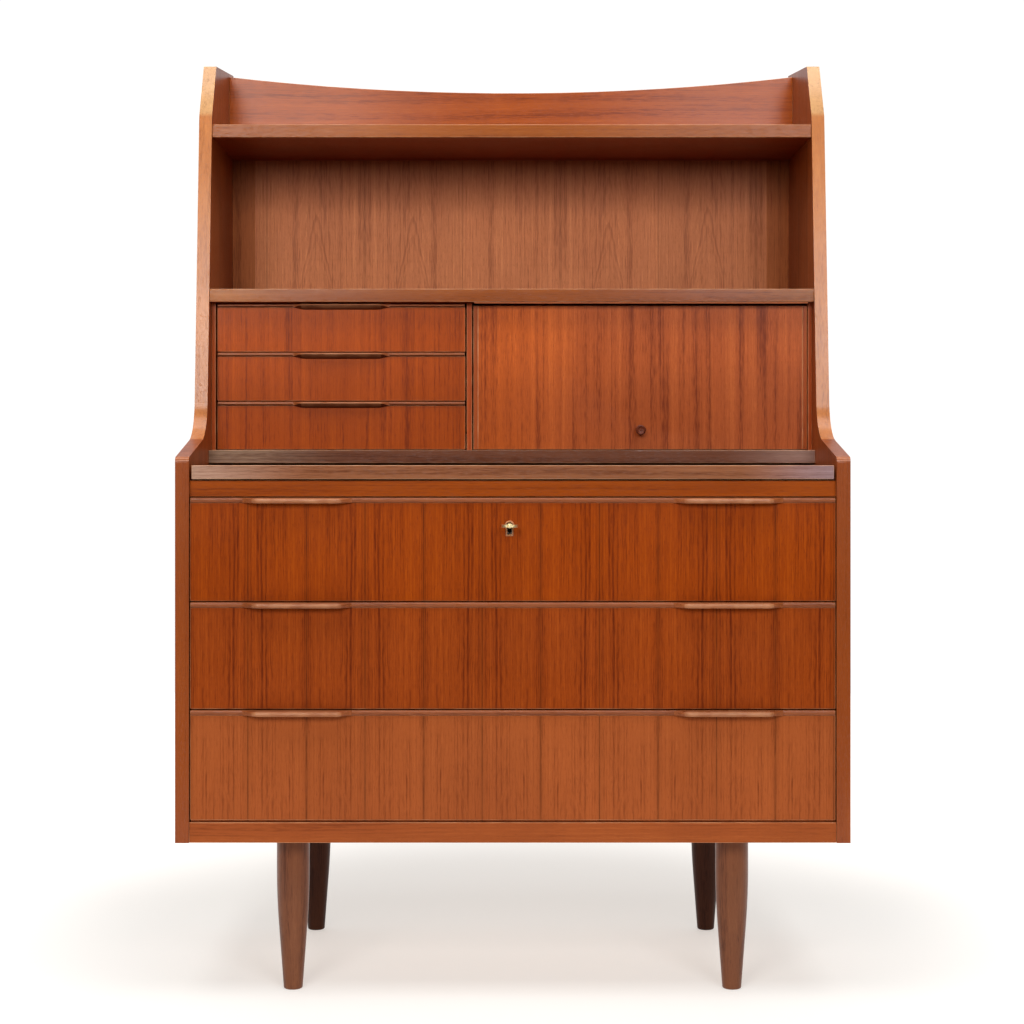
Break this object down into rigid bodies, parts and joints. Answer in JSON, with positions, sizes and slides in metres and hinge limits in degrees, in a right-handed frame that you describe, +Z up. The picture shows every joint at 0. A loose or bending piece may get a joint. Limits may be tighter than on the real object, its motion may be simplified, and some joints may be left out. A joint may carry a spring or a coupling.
{
  "type": "secretary desk",
  "caption": "Teak secretary desk: a drawer chest on turned legs with a pull-out writing leaf, and a set-back hutch with small drawers, a lift-up flap and open shelves.",
  "frame": {"origin": "on the floor under the middle of the whole box, front to back with the key's bow counted in", "axes": "+Z up, the front faces -Y, +X to the right seen from the front"},
  "size_m": [0.93, 0.476, 1.36],
  "materials": {
    "teak_veneer": "satin oiled teak veneer",
    "teak_solid": "satin oiled solid teak",
    "teak_dark": "satin dark teak",
    "drawer_wood": "plain beech, waxed",
    "plywood": "plain plywood",
    "brass": "polished, a little tarnished",
    "steel": "plain steel"
  },
  "bodies": {
    "carcass": {"side_left": "teak_veneer", "side_right": "teak_veneer", "bottom_board": "plywood", "bottom_rail": "teak_solid", "top_rail": "teak_solid", "desk_board": "teak_veneer", "middle_shelf": "teak_veneer", "top_shelf": "teak_veneer", "crest_rail": "teak_veneer", "cabinet_back": "plywood", "hutch_back": "teak_veneer", "liner_left": "teak_veneer", "liner_right": "teak_veneer", "partition": "teak_veneer", "drawer_runners": "drawer_wood", "hutch_runners": "drawer_wood", "leaf_guides": "drawer_wood", "leg_front_left": "teak_dark", "leg_front_right": "teak_dark", "leg_back_left": "teak_dark", "leg_back_right": "teak_dark", "leg_bolts": "steel", "back_screws": "steel", "flap_sockets": "brass", "flap_stops": "drawer_wood"},
    "leaf": {"leaf_board": "teak_veneer", "leaf_edge": "teak_solid", "leaf_stops": "drawer_wood"},
    "flap": {"flap_panel": "teak_veneer", "flap_edging": "teak_solid", "flap_knob": "teak_dark", "flap_pins": "steel"},
    "key": {"key": "brass"},
    "bolt": {"lock_bolt": "steel"},
    "drawer_1": {"drawer_1_front": "teak_veneer", "drawer_1_lip": "teak_solid", "drawer_1_box": "drawer_wood", "drawer_1_bottom": "plywood", "escutcheon": "brass", "lock_case": "brass"},
    "hutch_drawer_1": {"hutch_1_front": "teak_veneer", "hutch_1_lip": "teak_solid", "hutch_1_box": "drawer_wood", "hutch_1_bottom": "plywood"},
    "drawer_2": {"drawer_2_front": "teak_veneer", "drawer_2_lip": "teak_solid", "drawer_2_box": "drawer_wood", "drawer_2_bottom": "plywood"},
    "hutch_drawer_2": {"hutch_2_front": "teak_veneer", "hutch_2_lip": "teak_solid", "hutch_2_box": "drawer_wood", "hutch_2_bottom": "plywood"},
    "drawer_3": {"drawer_3_front": "teak_veneer", "drawer_3_lip": "teak_solid", "drawer_3_box": "drawer_wood", "drawer_3_bottom": "plywood"},
    "hutch_drawer_3": {"hutch_3_front": "teak_veneer", "hutch_3_lip": "teak_solid", "hutch_3_box": "drawer_wood", "hutch_3_bottom": "plywood"}
  },
  "joints": [
    {"name": "drawer_1_slide", "type": "slide", "parent": "carcass", "child": "drawer_1", "axis": [0, -1, 0], "range_m": [0, 0.3]},
    {"name": "drawer_2_slide", "type": "slide", "parent": "carcass", "child": "drawer_2", "axis": [0, -1, 0], "range_m": [0, 0.3]},
    {"name": "drawer_3_slide", "type": "slide", "parent": "carcass", "child": "drawer_3", "axis": [0, -1, 0], "range_m": [0, 0.3]},
    {"name": "hutch_drawer_1_slide", "type": "slide", "parent": "carcass", "child": "hutch_drawer_1", "axis": [0, -1, 0], "range_m": [0, 0.14]},
    {"name": "hutch_drawer_2_slide", "type": "slide", "parent": "carcass", "child": "hutch_drawer_2", "axis": [0, -1, 0], "range_m": [0, 0.14]},
    {"name": "hutch_drawer_3_slide", "type": "slide", "parent": "carcass", "child": "hutch_drawer_3", "axis": [0, -1, 0], "range_m": [0, 0.14]},
    {"name": "leaf_slide", "type": "slide", "parent": "carcass", "child": "leaf", "axis": [0, -1, 0], "range_m": [0, 0.19]},
    {"name": "flap_lift", "type": "hinge", "parent": "carcass", "child": "flap", "pos_m": [0, 0.009, 0.966], "axis": [-1, 0, 0], "range_deg": [0, 90]},
    {"name": "key_turn", "type": "hinge", "parent": "drawer_1", "child": "key", "pos_m": [-0.0044, -0.212, 0.652], "axis": [0, 1, 0], "range_deg": [0, 180]},
    {"name": "bolt_rise", "type": "slide", "parent": "drawer_1", "child": "bolt", "axis": [0, 0, 1], "range_m": [0, 0.008]}
  ],
  "couplings": [
    {"joint": "key_turn", "follows": "bolt_rise", "rad_per_m": 392.69}
  ]
}
